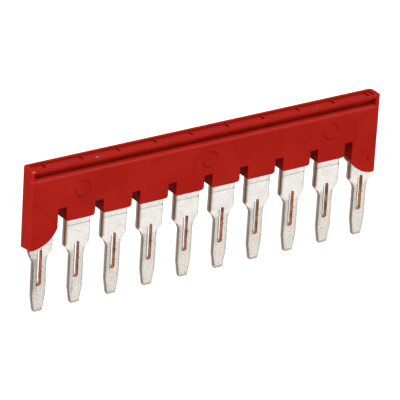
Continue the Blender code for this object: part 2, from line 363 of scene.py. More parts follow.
redPlastic = {
    "deep": (0.336, 0.0110, 0.0066),
    "pale": (0.374, 0.0136, 0.0084),
    # A painted highlight for the rounded edges
    "edge": (0.455, 0.0160, 0.0092),
    "grooveHighlight": (0.43, 0.034, 0.030),
    "recess": (0.215, 0.0001, 0.0001),
    "troughFloorSheen": (0.340, 0.0180, 0.0145),
    "troughWallShade": (0.325, 0.0080, 0.0020),
    "ribWallShade": (0.13, 0.0010, 0.0008),
    "seam": (0.16, 0.001, 0.001),
    # Where they lie: ramps between two values, and bands with their soft width, in millimetres
    "paleCloud": (0.35, 0.65),
    "edgeHighlightLean": (0.985, 0.86, 0.0, 0.6),
    "edgeHighlightGrain": (0.3, 0.6, 0.5, 1.0),
    "grooveHighlightZ": (7.14, 7.30, 0.18),
    "grooveHighlightY": (-0.7, -1.0),
    "grooveHighlightGrain": (0.35, 0.65, 0.3, 0.9),
    "recessX": (-0.5, 0.72, 0.04),
    "recessZ": (-2.2, 2.3, 0.12),
    "recessLean": (0.8, 0.4),
    "floorX": (-29.3, 29.3, 0.1),
    "floorY": (-0.7, 0.72, 0.05),
    "floorZ": (8.3, 8.8, 0.05),
    "floorLean": (0.5, 0.9),
    "floorShare": 0.9,
    "backY": (0.45, 0.85, 0.05),
    "backZ": (8.3, 9.0, 0.06),
    "backLean": (-0.5, -0.9),
    "ribLean": (-0.35, -0.6),
    "ribShare": 0.85,
    "flowLine": ((3.89, -1.24, 6.52), (5.14, -1.24, 3.71)),
    "flowWidth": 0.12,
    "flowShare": 0.42,
    "rough": (0.3, 0.7, 0.42, 0.54),
    "recessGloss": 0.34,
    "specular": 0.012,
    "cloudScale": 0.22,
    "grainScale": 5.5,
    "grainHeight": 0.0012,
    "spots": [
        # Dust on the rims and the front
        ((-19.2, -0.95, 9.0), (0.30, 0.16, 0.2), 0.9, 0.75, (0.62, 0.30, 0.26)),
        ((-18.5, -0.62, 9.0), (0.22, 0.14, 0.2), 0.9, 0.60, (0.62, 0.30, 0.26)),
        ((18.8, -0.9, 9.0), (0.16, 0.12, 0.2), 0.6, 0.55, (0.60, 0.22, 0.18)),
        ((16.3, -1.24, 7.5), (0.14, 0.2, 0.10), 0.6, 0.55, (0.60, 0.22, 0.18)),
        # A lighter patch on the top at the right end, a painted highlight
        ((29.0, -0.9, 9.1), (0.30, 0.16, 0.2), 0.8, 0.40, (0.58, 0.12, 0.08)),
        # The top corner at the left catches the light, a painted highlight, beside a painted shade in the
        # trough's back corner
        ((-29.85, -1.24, 8.88), (0.42, 0.3, 0.18), 0.5, 0.80, (0.68, 0.13, 0.09)),
        ((-29.3, 0.45, 8.9), (0.20, 0.16, 0.3), 0.4, 0.80, (0.12, 0.010, 0.004)),
        # A painted shade for a small dent near the last prong
        ((28.5, -1.24, -1.1), (0.15, 0.3, 0.80), 0.5, 0.75, (0.16, 0.001, 0.001)),
    ],
}


def lineMask(tree, vector, start, end, width):
    # A thin straight mark between two places
    start, end = Vector(start), Vector(end)
    way = (end - start).normalized()
    away = vectorMath(tree, "SUBTRACT", vector, tuple(start))
    along = vectorMath(tree, "DOT_PRODUCT", away, tuple(way))
    across = vectorMath(tree, "CROSS_PRODUCT", away, tuple(way))
    across = vectorMath(tree, "LENGTH", across)
    length = (end - start).length
    return multiply(tree, remap(tree, across, width, width * 0.3), band(tree, along, 0, length, 0.3))


def fromNearest(tree, x):
    # Signed distance to the nearest notch, whose middles lie at whole pitches
    share = calculate(tree, "FRACT", calculate(tree, "ADD", calculate(tree, "DIVIDE", x, pitch), 0.5))
    return multiply(tree, calculate(tree, "SUBTRACT", share, 0.5), pitch)


def makeRedPlastic():
    look = redPlastic
    material, tree, shader = startMaterial("redPolyamide")
    vector, parts, facing = readPlace(tree)
    cloud, grain = placeMottle(tree, vector, look)
    colour = blendColours(tree, remap(tree, cloud, *look["paleCloud"]), look["deep"], look["pale"])
    # Every flat face looks along an axis, so a normal between the axes is on a rounded edge; there a lighter
    # colour is a painted highlight
    axes = [calculate(tree, "ABSOLUTE", facing[axis]) for axis in "XYZ"]
    most = calculate(tree, "MAXIMUM", calculate(tree, "MAXIMUM", axes[0], axes[1]), axes[2])
    edge = multiply(tree, remap(tree, most, *look["edgeHighlightLean"]), remap(tree, grain, *look["edgeHighlightGrain"]))
    colour = blendColours(tree, edge, colour, look["edge"])
    # A painted highlight along the groove's lower edge
    grooveHighlightMask = multiply(
        tree,
        band(tree, parts["Z"], *look["grooveHighlightZ"]),
        remap(tree, parts["Y"], *look["grooveHighlightY"]),
        remap(tree, grain, *look["grooveHighlightGrain"]),
    )
    colour = blendColours(tree, grooveHighlightMask, colour, look["grooveHighlight"])
    # The notches' walls are smoother than the rest, and a painted shade makes them darker
    aside = calculate(tree, "ABSOLUTE", fromNearest(tree, parts["X"]))
    recess = multiply(
        tree,
        band(tree, aside, *look["recessX"]),
        band(tree, parts["Z"], *look["recessZ"]),
        remap(tree, axes[1], *look["recessLean"]),
    )
    colour = blendColours(tree, recess, colour, look["recess"])
    # The trough: a painted sheen on the floor, a painted shade on the back wall, and a painted shade on the
    # ribs' left walls
    inTrough = band(tree, parts["Y"], *look["floorY"])
    inTrough = multiply(tree, band(tree, parts["Z"], *look["floorZ"]), inTrough)
    floor = multiply(tree, inTrough, remap(tree, facing["Z"], *look["floorLean"]), look["floorShare"])
    colour = blendColours(tree, floor, colour, look["troughFloorSheen"])
    back = multiply(
        tree,
        band(tree, parts["Z"], *look["backZ"]),
        band(tree, parts["Y"], *look["backY"]),
        remap(tree, facing["Y"], *look["backLean"]),
    )
    colour = blendColours(tree, back, colour, look["troughWallShade"])
    ribShadeMask = multiply(
        tree,
        inTrough,
        band(tree, parts["X"], *look["floorX"]),
        remap(tree, facing["X"], *look["ribLean"]),
        look["ribShare"],
    )
    colour = blendColours(tree, ribShadeMask, colour, look["ribWallShade"])
    flow = lineMask(tree, vector, *look["flowLine"], look["flowWidth"])
    colour = blendColours(tree, multiply(tree, flow, look["flowShare"]), colour, look["seam"])
    colour = addSpots(tree, vector, colour, look["spots"])
    tree.links.new(colour, shader.inputs["Base Color"])
    rough = remap(tree, cloud, *look["rough"])
    rough = calculate(tree, "SUBTRACT", rough, multiply(tree, recess, look["recessGloss"]))
    tree.links.new(rough, shader.inputs["Roughness"])
    shader.inputs["Specular IOR Level"].default_value = look["specular"]
    addBump(tree, shader, multiply(tree, grain, look["grainHeight"] * mm))
    return material


tinnedCopper = {
    "tin": (0.985, 0.945, 0.900),
    "tinNeck": (0.890, 0.845, 0.785),
    "tinLow": (0.900, 0.845, 0.770),
    "dull": (0.870, 0.825, 0.765),
    "neckEdgeShade": (0.50, 0.46, 0.41),
    "slotRim": (0.14, 0.12, 0.10),
    "speck": (0.27, 0.25, 0.21),
    "slotFootShade": (0.085, 0.055, 0.030),
    "warmEdge": (0.46, 0.27, 0.185),
    "paintedShadeGrey": (0.62, 0.60, 0.56),
    "burr": (0.16, 0.13, 0.10),
    "tipEndShade": (0.40, 0.375, 0.325),
    "creaseShade": (0.58, 0.51, 0.40),
    "slotCopper": (0.60, 0.235, 0.095),
    "slotDark": (0.25, 0.115, 0.062),
    "neckSide": (0.42, 0.335, 0.275),
    # Colours across a sheared edge, from the front of the sheet to its back
    "sheared": [
        (0.00, (0.11, 0.050, 0.032)),
        (0.16, (0.20, 0.080, 0.040)),
        (0.30, (0.36, 0.140, 0.065)),
        (0.42, (0.12, 0.052, 0.030)),
        (0.52, (0.34, 0.220, 0.155)),
        (0.64, (0.52, 0.390, 0.300)),
        (0.78, (0.46, 0.350, 0.270)),
        (0.88, (0.17, 0.125, 0.095)),
        (1.00, (0.30, 0.270, 0.240)),
    ],
    # Where they lie: ramps between two values, and bands with their soft width, in millimetres;
    # X is measured from the middle of each prong's neck, slot or wide part
    "neckZ": (-5.0, -6.0),
    "lowZ": (-9.0, -11.0),
    "lowerZ": (-4.9, -5.6),
    "upperZ": (-4.6, -4.2),
    "dullCloud": (0.45, 0.75),
    "dullShare": 0.55,
    "legX": (-0.25, -0.5),
    "legZ": (-10.2, -9.4),
    "legShare": 0.42,
    "slotRimX": (-0.40, -0.2, 0.06),
    "slotRimZ": (-9.5, -4.3, 0.1),
    "slotRimGrain": (0.35, 0.6, 0.35, 0.9),
    "neckEdgeShadeX": (0.40, 0.12),
    "neckEdgeShadeSide": (-0.2, 0.2, 0.45, 1.0),
    "neckEdgeShadeGrain": (0.42, 0.60, 0.35, 1.0),
    "tickX": (0.36, 0.46, 0.06),
    "tickZ": (-6.72, -6.58, 0.08),
    "tickShare": 0.7,
    "warmX": (-1.72, -2.04),
    "warmShare": 0.8,
    "greyX": (1.86, 2.02),
    "greyShare": 0.5,
    "tipEdgeZ": (-13.15, -13.6),
    "tipEdgeGrain": (0.25, 0.5, 0.6, 1.0),
    "tipEdgeShare": 0.85,
    "firstX": (-26.2, -26.5),
    "firstZ": (-11.5, -9.5, 0.3, 1.0),
    "firstShare": 0.30,
    "speckX": (0.0, -0.4),
    "speckZ": (-12.5, -9.0, 0.0, 2.6),
    "speckLift": 0.04,
    "speckGrain": (0.56, 0.67),
    "speckShare": 0.75,
    "creaseZ": (-1.24, -1.12, 0.07),
    "creaseGrain": (0.3, 0.6, 0.35, 0.7),
    "nickX": (1.84, 1.98),
    "nickShare": 0.85,
    "tornEdge": 0.22,
    "slotX": (0.55, 0.45),
    "slotCloud": (0.4, 0.6),
    "slotFootZ": (-8.6, -9.1),
    "slotEndX": (0.26, 0.04),
    "slotEndZ": (-9.05, -9.3),
    "slotShare": 0.85,
    "neckSideX": (0.55, 0.7),
    "neckSideShare": 0.7,
    "faceLean": (0.35, 0.75),
    "rough": (0.3, 0.7, 0.34, 0.50),
    "bareRough": 0.12,
    "cloudScale": 0.8,
    "grainScale": 6.0,
    "grainHeight": 0.0016,
    # The punch draws the face over towards a sheared edge: where that starts, and how steeply
    "drawLeft": (1.42, 0.45),
    "drawRight": (1.78, 0.9),
    "drawZ": (-4.3, -4.0),
    "drawLean": (0.8, 0.95),
    "spots": [
        # Stains on the first, second, last, eighth and ninth prongs
        ((-28.95, -0.4, -8.2), (0.32, 0.5, 3.6), 2.2, 0.75, (0.27, 0.235, 0.19)),
        ((-28.10, -0.2, -9.32), (0.24, 0.9, 0.42), 0.3, 0.95, (0.015, 0.010, 0.008)),
        ((-27.60, -0.5, -3.8), (0.20, 0.4, 0.12), 0.6, 0.80, (0.16, 0.12, 0.09)),
        ((-22.2, -0.5, -11.2), (0.30, 0.4, 1.3), 2.4, 0.55, (0.36, 0.32, 0.27)),
        ((25.75, -0.5, -3.7), (0.35, 0.5, 0.55), 0.8, 0.85, (0.34, 0.15, 0.07)),
        ((27.50, -0.5, -6.8), (0.07, 0.4, 0.50), 0.4, 0.90, (0.03, 0.022, 0.018)),
        ((15.75, -0.5, -11.35), (0.26, 0.4, 0.07), 0.5, 0.60, (0.33, 0.30, 0.26)),
        ((21.40, -0.5, -11.28), (0.24, 0.4, 0.07), 0.5, 0.55, (0.33, 0.30, 0.26)),
    ],
}


def addShearedColour(tree, look, depth):
    ramp = addNode(tree, "ShaderNodeValToRGB")
    tree.links.new(depth, ramp.inputs["Fac"])
    stops = ramp.color_ramp.elements
    while len(stops) < len(look["sheared"]):
        stops.new(1.0)
    for stop, (at, colour) in zip(stops, look["sheared"]):
        stop.position = at
        stop.color = (*colour, 1)
    return ramp.outputs["Color"]


def placeOnProng(tree, parts, shape):
    # X from the middle of the nearest prong, of its neck and of its wide part
    share = calculate(tree, "FRACT", calculate(tree, "DIVIDE", parts["X"], pitch))
    fromProng = multiply(tree, calculate(tree, "SUBTRACT", share, 0.5), pitch)
    fromNeck = calculate(tree, "SUBTRACT", fromProng, shape["neckMiddle"])
    fromBlade = calculate(tree, "SUBTRACT", fromProng, shape["middle"])
    return fromProng, fromNeck, fromBlade


def insideNeck(tree, shape, aside, level):
    # Distance in from the side of the neck and of the tapered tip
    half = addNode(tree, "ShaderNodeMapRange")
    plug(tree, half.inputs["Value"], level)
    half.inputs["From Min"].default_value = shape["taperZ"]
    half.inputs["From Max"].default_value = shape["tipZ"]
    half.inputs["To Min"].default_value = shape["neckHalf"]
    half.inputs["To Max"].default_value = shape["tipHalf"]
    return calculate(tree, "SUBTRACT", half.outputs["Result"], aside)


def makeTinnedCopper():
    look, shape = tinnedCopper, combShape
    material, tree, shader = startMaterial("tinnedCopper")
    vector, parts, facing = readPlace(tree)
    cloud, grain = placeMottle(tree, vector, look)
    fromProng, fromNeck, fromBlade = placeOnProng(tree, parts, shape)
    aside = calculate(tree, "ABSOLUTE", fromNeck)
    level = parts["Z"]
    flatness = calculate(tree, "ABSOLUTE", facing["Y"])
    lower = remap(tree, level, *look["lowerZ"])
    upper = remap(tree, level, *look["upperZ"])

    # The tinned faces: clouded, and warmer towards the tips
    tin = blendColours(tree, remap(tree, level, *look["neckZ"]), look["tin"], look["tinNeck"])
    tin = blendColours(tree, remap(tree, level, *look["lowZ"]), tin, look["tinLow"])
    patch = multiply(tree, remap(tree, cloud, *look["dullCloud"]), look["dullShare"])
    tin = blendColours(tree, patch, tin, look["dull"])

    # A painted shade left of the slot, dark on its rim, and a painted shade along the neck's sides
    leg = multiply(
        tree,
        remap(tree, fromNeck, *look["legX"]),
        lower,
        remap(tree, level, *look["legZ"]),
        look["legShare"],
    )
    tin = blendColours(tree, leg, tin, look["paintedShadeGrey"])
    rim = multiply(
        tree,
        band(tree, fromProng, *look["slotRimX"]),
        band(tree, level, *look["slotRimZ"]),
        remap(tree, grain, *look["slotRimGrain"]),
    )
    tin = blendColours(tree, rim, tin, look["slotRim"])
    neckEdgeShadeMask = multiply(
        tree,
        remap(tree, insideNeck(tree, shape, aside, level), *look["neckEdgeShadeX"]),
        lower,
        remap(tree, fromNeck, *look["neckEdgeShadeSide"]),
        remap(tree, grain, *look["neckEdgeShadeGrain"]),
    )
    tin = blendColours(tree, neckEdgeShadeMask, tin, look["neckEdgeShade"])
    ticks = multiply(
        tree,
        band(tree, level, *look["tickZ"]),
        band(tree, aside, *look["tickX"]),
        look["tickShare"],
    )
    tin = blendColours(tree, ticks, tin, look["burr"])

    # The sides of the wide part, warm on the left and a painted shade on the right, and a painted shade at
    # the end of the tip
    warm = multiply(tree, remap(tree, fromBlade, *look["warmX"]), upper, look["warmShare"])
    tin = blendColours(tree, warm, tin, look["warmEdge"])
    grey = multiply(tree, remap(tree, fromBlade, *look["greyX"]), upper, look["greyShare"])
    tin = blendColours(tree, grey, tin, look["paintedShadeGrey"])
    tip = multiply(
        tree,
        remap(tree, level, *look["tipEdgeZ"]),
        remap(tree, grain, *look["tipEdgeGrain"]),
        look["tipEdgeShare"],
    )
    tin = blendColours(tree, tip, tin, look["tipEndShade"])

    # Fine specks, thickest on the first prong, which is also the greyest
    first = remap(tree, parts["X"], *look["firstX"])
    firstGreyer = multiply(tree, first, lower, look["firstShare"], remap(tree, level, *look["firstZ"]))
    tin = blendColours(tree, firstGreyer, tin, look["paintedShadeGrey"])
    more = multiply(tree, first, remap(tree, fromNeck, *look["speckX"]), remap(tree, level, *look["speckZ"]))
    lift = multiply(tree, calculate(tree, "ADD", more, lower), look["speckLift"])
    specks = remap(tree, calculate(tree, "ADD", grain, lift), *look["speckGrain"])
    tin = blendColours(tree, multiply(tree, specks, look["speckShare"]), tin, look["speck"])

    # The crease across the wide part: a painted shade along it, darkest where it meets the sides
    crease = band(tree, level, *look["creaseZ"])
    creaseShadeMask = multiply(tree, crease, remap(tree, grain, *look["creaseGrain"]))
    tin = blendColours(tree, creaseShadeMask, tin, look["creaseShade"])
    nick = remap(tree, calculate(tree, "ABSOLUTE", fromBlade), *look["nickX"])
    tin = blendColours(tree, multiply(tree, crease, nick, look["nickShare"]), tin, look["burr"])

    # The sheared edges: torn copper in front of a burnished strip, with ragged borders
    ragged = multiply(tree, calculate(tree, "SUBTRACT", grain, 0.5), look["tornEdge"])
    depth = calculate(tree, "SUBTRACT", parts["Y"], shape["frontY"])
    depth = calculate(tree, "DIVIDE", depth, shape["backY"] - shape["frontY"])
    sheared = addShearedColour(tree, look, calculate(tree, "ADD", depth, ragged))
    slot = blendColours(tree, remap(tree, cloud, *look["slotCloud"]), look["slotCopper"], look["slotDark"])
    slot = blendColours(tree, remap(tree, level, *look["slotFootZ"]), slot, look["slotCopper"])
    # A painted shade at the slot's foot
    foot = multiply(tree, remap(tree, level, *look["slotEndZ"]), remap(tree, fromProng, *look["slotEndX"]))
    slot = blendColours(tree, foot, slot, look["slotFootShade"])
    inSlot = multiply(tree, remap(tree, aside, *look["slotX"]), look["slotShare"])
    sheared = blendColours(tree, inSlot, sheared, slot)
    onNeck = multiply(tree, lower, remap(tree, aside, *look["neckSideX"]), look["neckSideShare"])
    sheared = blendColours(tree, onNeck, sheared, look["neckSide"])

    colour = blendColours(tree, remap(tree, flatness, *look["faceLean"]), sheared, tin)
    colour = addSpots(tree, vector, colour, look["spots"])
    tree.links.new(colour, shader.inputs["Base Color"])
    rough = remap(tree, cloud, *look["rough"])
    bare = remap(tree, flatness, *look["faceLean"], look["bareRough"], 0.0)
    tree.links.new(calculate(tree, "ADD", rough, bare), shader.inputs["Roughness"])
    shader.inputs["Metallic"].default_value = 1.0

    # Heights: a fine grain, and the faces drawn over towards the sides of the wide part
    height = multiply(tree, grain, look["grainHeight"] * mm)
    onFace = multiply(tree, remap(tree, level, *look["drawZ"]), remap(tree, flatness, *look["drawLean"]))
    for sign, key in ((-1, "drawLeft"), (1, "drawRight")):
        start, steep = look[key]
        past = calculate(tree, "SUBTRACT", multiply(tree, fromProng, sign), start)
        past = calculate(tree, "MAXIMUM", past, 0.0)
        drop = multiply(tree, past, past, -steep * mm, onFace)
        height = calculate(tree, "ADD", height, drop)
    addBump(tree, shader, height)
    return material


# Housing

housingShape = {
    "endX": 30.15,
    "frontY": -1.24,
    "backY": 1.295,
    "topZ": 9.09,
    "rimZ": 9.0,
    "rimEnd": 1.0,
    "rimBackY": 0.6,
    "endTabZ": -3.5,
    "endTabRadius": 4.68,
    "endTabCorner": 0.4,
    "topCorner": {-1: 0.42, 1: 0.35},
    # The upright edges at the left (-1) and right (1), in front (-1) and behind (1)
    "uprightEdge": {(-1, -1): 0.42, (-1, 1): 0.35, (1, -1): 0.7, (1, 1): 0.95},
    "notchHalf": 0.675,
    "notchTopZ": 2.25,
    "tabCornerRight": 0.5,
    "tabCornerLeft": 0.28,
    "grooveLeftX": -29.65,
    "grooveRightX": 29.25,
    "grooveTopZ": 8.52,
    "grooveBottomZ": 7.34,
    "grooveBackY": -0.25,
    "grooveRise": 0.2,
    "grooveEdge": 0.4,
    "troughLeftX": -29.6,
    "troughRightX": 29.3,
    "troughFrontY": -0.72,
    "troughBackY": 0.76,
    "troughDepth": 0.28,
    "troughLean": 0.05,
    # A rib right of each prong's centre, with a pit on its left that widens towards the back
    "ribDrop": 0.09,
    "ribLeft": {"front": 0.42, "back": 0.72},
    "ribRight": {"front": 0.66, "back": 0.92},
    "pitWide": {"front": 0.34, "back": 0.42},
    "pitDeep": {"front": 0.10, "back": 0.12},
    "frontCuts": (2.95, 6.45),
    "markSpare": 0.3,
    "otherCut": 1.2,
    "markPlaces": ((-21.58, 4.68, 1.14), (0.02, 4.72, 1.14), (21.32, 4.78, 1.14)),
    "markFace": -1.275,
    "markBase": -0.9,
    "markMoat": 0.16,
    "moatShift": 0.11,
    "mouldEdge": 0.09,
    "troughEdge": 0.06,
    # How much lower the left end's foot hangs, within that X of the end and behind that Y
    "footSag": 0.3,
    "footX": 0.5,
    "footY": 0.4,
    "over": 1.0,
}


def cutOutline(housing, s):
    end, over = s["endX"], s["over"]
    span = (s["frontY"] - over, s["backY"] + over)
    lastWall = notchCentres[-1] + s["notchHalf"]
    belly = addBlock("belly", (-lastWall, span[0], s["endTabZ"] - over), (lastWall, span[1], 0))
    combine(housing, [belly])
    notches = []
    for middle in notchCentres:
        low = (middle - s["notchHalf"], span[0], -over)
        notches.append(addBlock("notch", low, (middle + s["notchHalf"], span[1], s["notchTopZ"])))
    combine(housing, notches)
    arches = []
    for side in (-1, 1):
        centreX = side * (end - s["endTabCorner"])
        centreZ = s["endTabZ"] + s["endTabRadius"]
        inner = side * (lastWall - over)
        low = (min(centreX, inner), span[0], s["endTabZ"] - over)
        high = (max(centreX, inner), span[1], s["notchTopZ"] - over)
        arch = addBlock("arch", low, high)
        rod = addRod("archRod", (centreX, 0, centreZ), s["endTabRadius"], span[1] - span[0] + over, "y", 192)
        combine(arch, [rod])
        arches.append(arch)
    combine(housing, arches)
    corners = []
    for side in (-1, 1):
        corners.append(((side * end, s["endTabZ"]), (side, -1), s["endTabCorner"]))
        corners.append(((side * end, s["topZ"]), (side, 1), s["topCorner"][side]))
    for left, right in zip(notchCentres[:-1], notchCentres[1:]):
        corners.append(((left + s["notchHalf"], 0), (-1, -1), s["tabCornerLeft"]))
        corners.append(((right - s["notchHalf"], 0), (1, -1), s["tabCornerRight"]))
    combine(housing, [roundingTool("corner", "y", *corner, span) for corner in corners])


def roundUprights(housing, s):
    span = (s["endTabZ"] - s["over"], s["topZ"] + s["over"])
    tools = []
    for (sideX, sideY), radius in s["uprightEdge"].items():
        corner = (sideX * s["endX"], s["frontY"] if sideY < 0 else s["backY"])
        tools.append(roundingTool("upright", "z", corner, (sideX, sideY), radius, span))
    combine(housing, tools)


def cutGroove(housing, s):
    low = (s["grooveLeftX"], s["frontY"] - s["over"], s["grooveBottomZ"])
    groove = addBlock("groove", low, (s["grooveRightX"], s["grooveBackY"], s["grooveTopZ"]))
    middle = (s["grooveBottomZ"] + s["grooveTopZ"]) / 2
    movePoints(groove, lambda co: co.y > s["frontY"] and co.z < middle, (0, 0, s["grooveRise"]))
    combine(housing, [groove])
    corner = (s["frontY"], s["grooveBottomZ"])
    span = (s["grooveLeftX"], s["grooveRightX"])
    combine(housing, [roundingTool("grooveEdge", "x", corner, (-1, 1), s["grooveEdge"], span)])


def slantPoints(block, isLeft, isBack, shift, middle, below=None):
    # Moves one upright edge of a block, or only its foot where a level is given
    movePoints(
        block,
        lambda co: (co.x < middle, co.y > 0) == (isLeft, isBack) and (below is None or co.z < below),
        shift,
    )


def makeCell(left, right, s):
    front, back = s["troughFrontY"], s["troughBackY"]
    floor, top = s["rimZ"] - s["troughDepth"], s["rimZ"] - s["ribDrop"] + 0.02
    middle = (left["front"] + right["front"]) / 2
    cell = addBlock("cell", (left["front"], front, floor), (right["front"], back, top))
    for isLeft, at in ((True, left), (False, right)):
        slantPoints(cell, isLeft, True, (at["back"] - at["front"], 0, 0), middle)
        slantPoints(cell, isLeft, True, (0, -s["troughLean"], 0), middle, floor + 0.05)
    splitFaces(cell)
    return cell


def makePit(right, s):
    # Its floor slopes down to the rib
    front, back = s["troughFrontY"] + 0.03, s["troughBackY"] - s["troughLean"] - 0.03
    top = s["rimZ"] - s["troughDepth"] + 0.05
    low = top - 0.05 - s["pitDeep"]["front"]
    left = right["front"] - s["pitWide"]["front"]
    pit = addBlock("pit", (left, front, low), (right["front"] + 0.02, back, top))
    middle = (left + right["front"]) / 2
    slide = right["back"] - right["front"]
    wider = s["pitWide"]["front"] - s["pitWide"]["back"]
    deeper = s["pitDeep"]["front"] - s["pitDeep"]["back"]
    slantPoints(pit, False, True, (slide, 0, 0), middle)
    slantPoints(pit, False, True, (0, 0, deeper), middle, low + 0.05)
    slantPoints(pit, True, True, (slide + wider, 0, 0), middle)
    for isBack in (False, True):
        slantPoints(pit, True, isBack, (0, 0, s["pitDeep"]["front"] - 0.02), middle, low + 0.05)
    splitFaces(pit)
    return pit


def cutTop(housing, s):
    over = s["over"]
    above = s["topZ"] + over
    rimX = s["endX"] - s["rimEnd"]
    rims = addBlock("rims", (-rimX, s["frontY"] - over, s["rimZ"]), (rimX, s["rimBackY"], above))
    combine(housing, [rims])
    low = (s["troughLeftX"], s["troughFrontY"], s["rimZ"] - s["ribDrop"])
    combine(housing, [addBlock("trough", low, (s["troughRightX"], s["troughBackY"], above))])
    starts = [{"front": s["troughLeftX"], "back": s["troughLeftX"]}]
    ends = []
    for middle in prongCentres:
        ends.append({side: middle + s["ribLeft"][side] for side in ("front", "back")})
        starts.append({side: middle + s["ribRight"][side] for side in ("front", "back")})
    pits = [makePit(right, s) for right in ends]
    ends.append({"front": s["troughRightX"], "back": s["troughRightX"]})
    combine(housing, [makeCell(left, right, s) for left, right in zip(starts, ends)])
    combine(housing, pits)


def splitLongFaces(housing, s):
    # Straight cuts: short faces round well, and each round mark lies in a square of its own
    frontCuts = [((0, 0, level), (0, 0, 1)) for level in s["frontCuts"]]
    for x, z, radius in s["markPlaces"]:
        for side in (-1, 1):
            frontCuts.append(((x + side * (radius + s["markSpare"]), 0, 0), (1, 0, 0)))
    otherCuts = [((x + s["otherCut"], 0, 0), (1, 0, 0)) for x in prongCentres]
    makeActive(housing)
    bpy.ops.object.mode_set(mode="EDIT")
    for cuts, isFront in ((frontCuts, True), (otherCuts, False)):
        for place, way in cuts:
            selectFaces(housing, lambda face: (face.normal.y < -0.99) == isFront)
            bpy.ops.mesh.bisect(plane_co=[value * mm for value in place], plane_no=way)
    bpy.ops.object.mode_set(mode="OBJECT")


def addEjectorMarks(housing, s):
    # Round marks that stand a hair proud, with a fine moat along the lower right
    discs, moats = [], []
    for x, z, radius in s["markPlaces"]:
        middle = (s["markFace"] + s["markBase"]) / 2
        discs.append(addRod("mark", (x, middle, z), radius, s["markBase"] - s["markFace"], "y", 96))
        bpy.ops.object.select_all(action="DESELECT")
        bpy.ops.mesh.primitive_torus_add(
            major_radius=radius * mm,
            minor_radius=s["markMoat"] * mm,
            major_segments=96,
            minor_segments=12,
            location=((x + s["moatShift"]) * mm, s["frontY"] * mm, (z - s["moatShift"]) * mm),
            rotation=(math.pi / 2, 0, 0),
        )
        moats.append(placeInMesh(bpy.context.object, "moat"))
    combine(housing, moats)
    combine(housing, discs, "UNION")


def isInTrough(place, s):
    inside = s["troughFrontY"] - 0.02 < place.y < s["troughBackY"] + 0.02 and place.z > 8
    return inside and s["troughLeftX"] - 0.02 < place.x < s["troughRightX"] + 0.02


def isMouldEdge(edge, s):
    # The rims of the round marks and their moats stay crisp
    middle = (edge.verts[0].co + edge.verts[1].co) / (2 * mm)
    for x, z, radius in s["markPlaces"]:
        if middle.y < s["markBase"] and math.hypot(middle.x - x, middle.z - z) < radius + 0.4:
            return False
    return isOutwardEdge(edge) and not isInTrough(middle, s)


def isTroughEdge(edge, s):
    # The trough's upper edges, not those of its ribs
    ends = [point.co / mm for point in edge.verts]
    return isOutwardEdge(edge) and all(isInTrough(end, s) and end.z > s["rimZ"] - 0.01 for end in ends)


def sagFoot(housing, s):
    inward, top = s["footX"] - s["endX"], s["endTabZ"] + s["endTabCorner"]
    movePoints(
        housing,
        lambda co: co.x < inward and co.y > s["footY"] and co.z < top,
        (0, 0, -s["footSag"]),
    )


def makeHousing():
    s = housingShape
    end = s["endX"]
    housing = addBlock("housingShell", (-end, s["frontY"], s["endTabZ"]), (end, s["backY"], s["topZ"]))
    cutOutline(housing, s)
    roundUprights(housing, s)
    cutGroove(housing, s)
    cutTop(housing, s)
    cleanFaces(housing)
    splitLongFaces(housing, s)
    addEjectorMarks(housing, s)
    roundEdges(housing, lambda edge: isMouldEdge(edge, s), s["mouldEdge"], 3)
    roundEdges(housing, lambda edge: isTroughEdge(edge, s), s["troughEdge"], 2)
    sagFoot(housing, s)
    smoothShade(housing)
    housing.data.materials.clear()
    housing.data.materials.append(makeRedPlastic())
    print("housing:", len(housing.data.polygons), "faces")
    return housing


# Comb

combShape = {
    "half": 2.06,
    "middle": 0.06,
    "endHalf": 1.97,
    "frontY": -0.5,
    "backY": 0.3,
    "stripBottomZ": 3.05,
    "stripTopZ": 6.4,
    "rootZ": 3.4,
    "shoulderZ": -4.35,
    "shoulderCorner": 0.22,
    "neckHalf": 1.14,
    "neckMiddle": 0.13,
    "neckZ": -5.4,
    "neckCorner": 0.5,
    "taperZ": -11.2,
    "tipHalf": 0.72,
    "tipZ": -13.7,
    "tipCorner": 0.24,
    "coinTopZ": -5.6,
    "coinFront": 0.08,
    "coinBack": 0.24,
    "slotHalf": 0.35,
    "slotMiddle": 0.11,
    "slotTopZ": -3.92,
    "slotBottomZ": -9.65,
    "creaseZ": -1.13,
    "creaseRadius": 0.17,
    "creaseDepth": 0.05,
    # What lies further than this from the middle, on the outer side of the first and last prongs, shifts
    "outerX": 1.46,
    "firstShift": (0.3, 0, 0.1),
    "lastShift": (-0.2, 0, -0.3),
}


def pullEdge(fromZ, toZ, fromHalf, toHalf, fromMiddle, toMiddle):
    # Draws the lowest edge down to a new level, width and middle
    way = ((toMiddle - fromMiddle) * mm, 0, (toZ - fromZ) * mm)
    bpy.ops.mesh.extrude_region_move(TRANSFORM_OT_translate={"value": way})
    share = toHalf / fromHalf
    if share != 1:
        bpy.ops.transform.resize(value=(share, 1, 1), center_override=(toMiddle * mm, 0, toZ * mm))


def roundPoints(piece, half, middle, level, radius):
    selectPoints(piece, lambda co: abs(abs(co.x - middle) - half) < 0.01 and abs(co.z - level) < 0.01)
    bpy.ops.mesh.bevel(offset=radius * mm, segments=5, affect="VERTICES", clamp_overlap=False)


